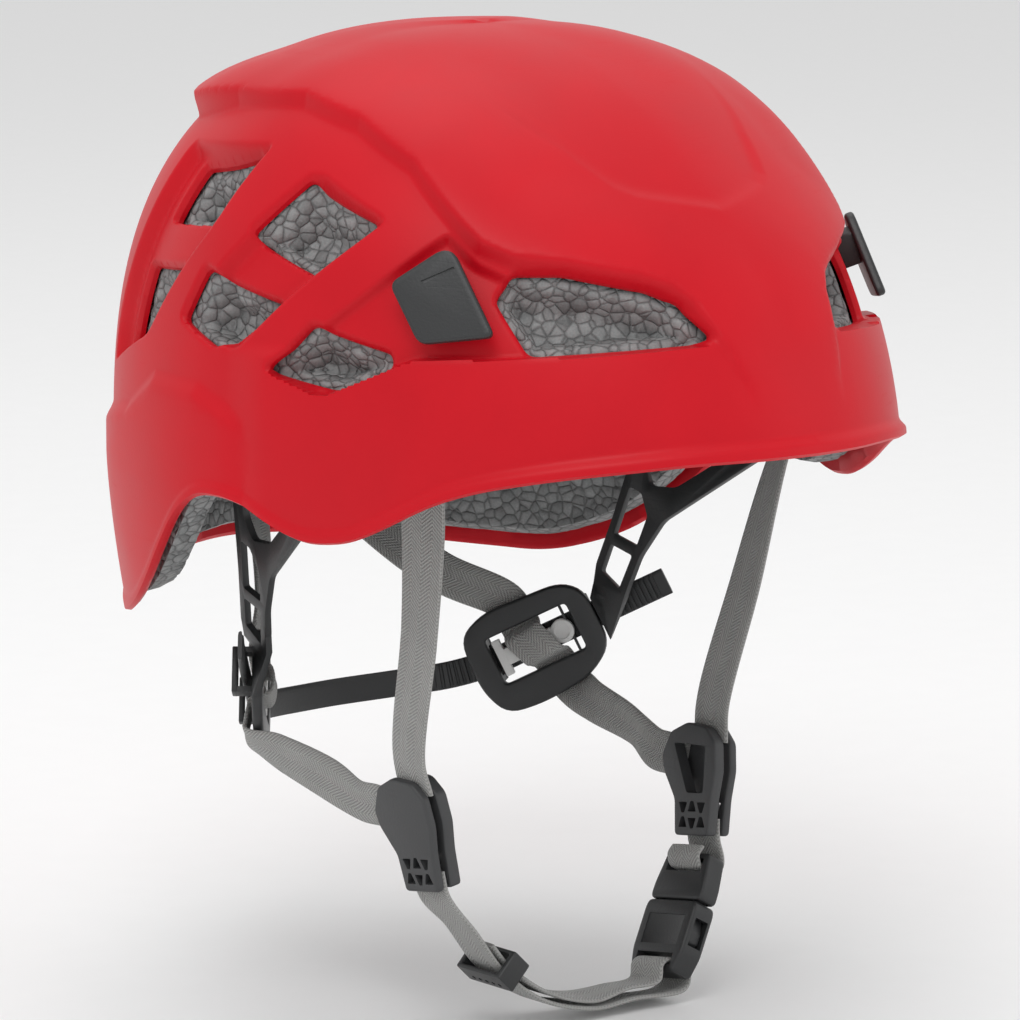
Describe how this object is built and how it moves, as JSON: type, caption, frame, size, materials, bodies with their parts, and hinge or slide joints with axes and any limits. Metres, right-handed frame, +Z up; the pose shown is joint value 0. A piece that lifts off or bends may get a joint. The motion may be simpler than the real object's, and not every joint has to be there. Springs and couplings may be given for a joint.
{
  "type": "climbing helmet",
  "caption": "Hard-shell climbing helmet with foam lining, folding headband, webbing chin strap and a side-release buckle.",
  "frame": {"origin": "the middle of the head opening, level with the sides of the brim", "axes": "+Z up to the crown, -Y to the front of the helmet, +X to the wearer's left"},
  "size_m": [0.229, 0.2907, 0.3087],
  "materials": {
    "shell": "glossy moulded red",
    "foam": "beaded expanded foam",
    "pad": "brushed cloth over soft foam",
    "steel": "plain",
    "white_plastic": "satin",
    "grey_plastic": "satin",
    "webbing": "herringbone weave",
    "elastic": "woven cover",
    "black_plastic": "satin moulded"
  },
  "bodies": {
    "helmet": {"outer_shell": "shell", "crown_liner": "foam", "rim_liner": "foam", "forehead_pad": "pad", "crown_pad_front": "pad", "crown_pad_rear": "pad", "lamp_hook_right": "black_plastic", "lamp_hook_left": "black_plastic", "lamp_elastic": "elastic", "arm_right": "black_plastic", "arm_left": "black_plastic", "arm_stud_front_right": "black_plastic", "arm_stud_rear_right": "black_plastic", "arm_stud_front_left": "black_plastic", "arm_stud_rear_left": "black_plastic", "front_strap_right": "webbing", "front_strap_left": "webbing", "rear_strap_right": "webbing", "rear_strap_left": "webbing", "strap_anchor_front_right": "steel", "strap_anchor_rear_right": "steel", "strap_anchor_front_left": "steel", "strap_anchor_rear_left": "steel", "divider_base_right": "grey_plastic", "divider_base_left": "grey_plastic", "divider_cover_right": "grey_plastic", "divider_cover_left": "grey_plastic", "buckle_male": "black_plastic", "buckle_strap": "webbing", "chin_strap": "webbing"},
    "headband": {"plate_right": "black_plastic", "plate_left": "black_plastic", "nape_band": "black_plastic"},
    "lock_right_body": {"lock_right": "white_plastic"},
    "lock_left_body": {"lock_left": "white_plastic"},
    "buckle_socket": {"buckle_female": "black_plastic"},
    "prong_front_body": {"prong_front": "black_plastic"},
    "prong_rear_body": {"prong_rear": "black_plastic"},
    "keeper": {"strap_keeper": "black_plastic"},
    "lamp_hook_rear": {"lamp_elastic_hook": "black_plastic"}
  },
  "joints": [
    {"name": "headband_fold", "type": "hinge", "parent": "helmet", "child": "headband", "pos_m": [0, 0.034, -0.057], "axis": [1, 0, 0], "range_deg": [0, 20], "deforming": ["rear_strap_right", "rear_strap_left"]},
    {"name": "lock_press_left", "type": "slide", "parent": "headband", "child": "lock_left_body", "axis": [-0.7609, -0.6489, 0], "range_m": [0, 0.001], "stiffness_N_per_m": 800},
    {"name": "lock_press_right", "type": "slide", "parent": "headband", "child": "lock_right_body", "axis": [0.7609, -0.6489, 0], "range_m": [0, 0.001], "stiffness_N_per_m": 800},
    {"name": "buckle_release", "type": "slide", "parent": "helmet", "child": "buckle_socket", "axis": [-0.4984, -0.1296, -0.8572], "range_m": [0, 0.016], "deforming": ["chin_strap"]},
    {"name": "prong_squeeze_front", "type": "hinge", "parent": "helmet", "child": "prong_front_body", "pos_m": [0.04599, -0.04511, -0.13175], "axis": [0.8669, -0.0739, -0.4929], "range_deg": [0, 21]},
    {"name": "prong_squeeze_rear", "type": "hinge", "parent": "helmet", "child": "prong_rear_body", "pos_m": [0.04599, -0.02889, -0.13419], "axis": [-0.8669, 0.0739, 0.4929], "range_deg": [0, 21]},
    {"name": "keeper_slide", "type": "slide", "parent": "helmet", "child": "keeper", "axis": [0.7219, 0, -0.6919], "range_m": [-0.003, 0.003]},
    {"name": "lamp_elastic_pull", "type": "slide", "parent": "helmet", "child": "lamp_hook_rear", "axis": [0, 0.3111, -0.9504], "range_m": [0, 0.012], "stiffness_N_per_m": 150, "deforming": ["lamp_elastic"]}
  ],
  "couplings": [
    {"joint": "prong_squeeze_front", "follows": "buckle_release", "rad_per_m": 22},
    {"joint": "prong_squeeze_rear", "follows": "buckle_release", "rad_per_m": 22}
  ]
}
